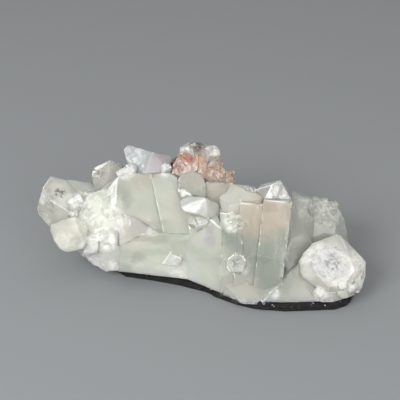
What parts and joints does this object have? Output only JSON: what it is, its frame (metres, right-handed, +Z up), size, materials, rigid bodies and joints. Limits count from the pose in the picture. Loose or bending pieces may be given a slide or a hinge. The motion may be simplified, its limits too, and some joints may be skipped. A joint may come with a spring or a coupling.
{
  "type": "apophyllite crystal cluster",
  "caption": "Mineral specimen: a low ridge of pale green and clear blocky apophyllite crystals on a dark basalt plate, with a pink stilbite crust.",
  "frame": {"origin": "middle of the bounding box, on the surface that the basalt plate rests on", "axes": "+X along the cluster to its round end crystal, +Y to its back, +Z up"},
  "size_m": [0.119, 0.0534, 0.0447],
  "materials": {
    "green_apophyllite": "milky translucent, vitreous crystal faces",
    "clear_apophyllite": "clear, vitreous crystal faces",
    "pink_stilbite": "pearly bladed crust",
    "dark_basalt": "rough broken rock with fine sparkles"
  },
  "bodies": {
    "root": {"apophyllite_crystals": "green_apophyllite", "crest_crystals": "clear_apophyllite", "stilbite_crust": "pink_stilbite", "basalt_matrix": "dark_basalt"}
  },
  "joints": []
}
